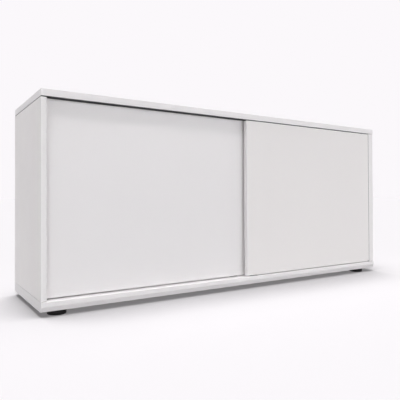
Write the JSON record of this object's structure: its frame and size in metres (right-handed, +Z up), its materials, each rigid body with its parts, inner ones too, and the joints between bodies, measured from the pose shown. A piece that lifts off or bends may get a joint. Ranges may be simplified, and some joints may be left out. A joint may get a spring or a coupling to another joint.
{
  "type": "sliding door cabinet",
  "caption": "Low white office storage cabinet with sliding doors that run past each other, shelves inside and levelling feet.",
  "frame": {"origin": "on the floor, under the middle of the cabinet (bounding box bottom centre)", "axes": "+X to the right along the front, +Y from the front to the back, +Z up"},
  "size_m": [1.6, 0.4, 0.7],
  "materials": {
    "white_board": "melamine-faced chipboard, satin white",
    "white_edge_band": "ABS edge band, satin white",
    "white_back_board": "thin lacquered fibreboard, white",
    "white_profile": "satin white plastic profile",
    "dark_profile": "extruded, dark anodised",
    "dark_spacer": "dark grey plastic strip",
    "grey_plastic": "moulded grey plastic",
    "wheel_nylon": "turned white nylon",
    "soft_rubber": "dark grey soft rubber",
    "zinc_steel": "bright zinc-plated steel",
    "cast_zinc": "die-cast zinc, dull grey",
    "beech": "plain turned beech",
    "black_plastic": "moulded black plastic"
  },
  "bodies": {
    "carcass": {"top_panel": "white_board", "top_edge_band": "white_edge_band", "top_spacers": "dark_spacer", "bottom_panel": "white_board", "side_panel_left": "white_board", "side_panel_right": "white_board", "side_edge_band": "white_edge_band", "centre_partition": "white_board", "partition_edge_band": "white_edge_band", "back_panel": "white_back_board", "shelf_left": "white_board", "shelf_edge_band_left": "white_edge_band", "shelf_right": "white_board", "shelf_edge_band_right": "white_edge_band", "shelf_pins": "zinc_steel", "cam_housings": "cast_zinc", "cam_bolts": "zinc_steel", "dowels": "beech", "runner_profile": "dark_profile", "track_stops": "soft_rubber", "floor_guide_front": "grey_plastic", "floor_guide_rear": "grey_plastic", "stop_strip": "white_profile", "strip_screws": "zinc_steel", "door_seals": "soft_rubber", "foot_socket_front_left": "black_plastic", "foot_socket_front_right": "black_plastic", "foot_socket_back_left": "black_plastic", "foot_socket_back_right": "black_plastic"},
    "door_left": {"door_panel_left": "white_board", "door_edge_band_left": "white_edge_band", "hanger_axles_left": "zinc_steel", "door_hanger_left_outer": "grey_plastic", "door_hanger_left_inner": "grey_plastic", "overlap_strip": "white_profile"},
    "door_right": {"door_panel_right": "white_board", "door_edge_band_right": "white_edge_band", "hanger_axles_right": "zinc_steel", "door_hanger_right_outer": "grey_plastic", "door_hanger_right_inner": "grey_plastic"},
    "rollers_left_outer": {"roller_wheels_left_outer": "wheel_nylon"},
    "rollers_left_inner": {"roller_wheels_left_inner": "wheel_nylon"},
    "rollers_right_outer": {"roller_wheels_right_outer": "wheel_nylon"},
    "rollers_right_inner": {"roller_wheels_right_inner": "wheel_nylon"},
    "foot_front_left": {"foot_pad_front_left": "black_plastic", "foot_stem_front_left": "zinc_steel"},
    "foot_front_right": {"foot_pad_front_right": "black_plastic", "foot_stem_front_right": "zinc_steel"},
    "foot_back_left": {"foot_pad_back_left": "black_plastic", "foot_stem_back_left": "zinc_steel"},
    "foot_back_right": {"foot_pad_back_right": "black_plastic", "foot_stem_back_right": "zinc_steel"}
  },
  "joints": [
    {"name": "door_left_slide", "type": "slide", "parent": "carcass", "child": "door_left", "axis": [1, 0, 0], "range_m": [0, 0.7]},
    {"name": "door_right_slide", "type": "slide", "parent": "carcass", "child": "door_right", "axis": [1, 0, 0], "range_m": [-0.687, 0]},
    {"name": "rollers_left_outer_spin", "type": "hinge", "parent": "door_left", "child": "rollers_left_outer", "pos_m": [-0.71, -0.159, 0.6853], "axis": [0, 1, 0], "range_deg": [-10, 8060]},
    {"name": "rollers_left_inner_spin", "type": "hinge", "parent": "door_left", "child": "rollers_left_inner", "pos_m": [-0.07, -0.159, 0.6853], "axis": [0, 1, 0], "range_deg": [-10, 8060]},
    {"name": "rollers_right_inner_spin", "type": "hinge", "parent": "door_right", "child": "rollers_right_inner", "pos_m": [0.07, -0.189, 0.6853], "axis": [0, 1, 0], "range_deg": [-7910, 10]},
    {"name": "rollers_right_outer_spin", "type": "hinge", "parent": "door_right", "child": "rollers_right_outer", "pos_m": [0.697, -0.189, 0.6853], "axis": [0, 1, 0], "range_deg": [-7910, 10]},
    {"name": "foot_front_left_height", "type": "slide", "parent": "carcass", "child": "foot_front_left", "axis": [0, 0, -1], "range_m": [0, 0.01]},
    {"name": "foot_front_right_height", "type": "slide", "parent": "carcass", "child": "foot_front_right", "axis": [0, 0, -1], "range_m": [0, 0.01]},
    {"name": "foot_back_left_height", "type": "slide", "parent": "carcass", "child": "foot_back_left", "axis": [0, 0, -1], "range_m": [0, 0.01]},
    {"name": "foot_back_right_height", "type": "slide", "parent": "carcass", "child": "foot_back_right", "axis": [0, 0, -1], "range_m": [0, 0.01]}
  ],
  "couplings": [
    {"joint": "rollers_left_outer_spin", "follows": "door_left_slide", "rad_per_m": 200},
    {"joint": "rollers_left_inner_spin", "follows": "door_left_slide", "rad_per_m": 200},
    {"joint": "rollers_right_inner_spin", "follows": "door_right_slide", "rad_per_m": 200},
    {"joint": "rollers_right_outer_spin", "follows": "door_right_slide", "rad_per_m": 200}
  ]
}
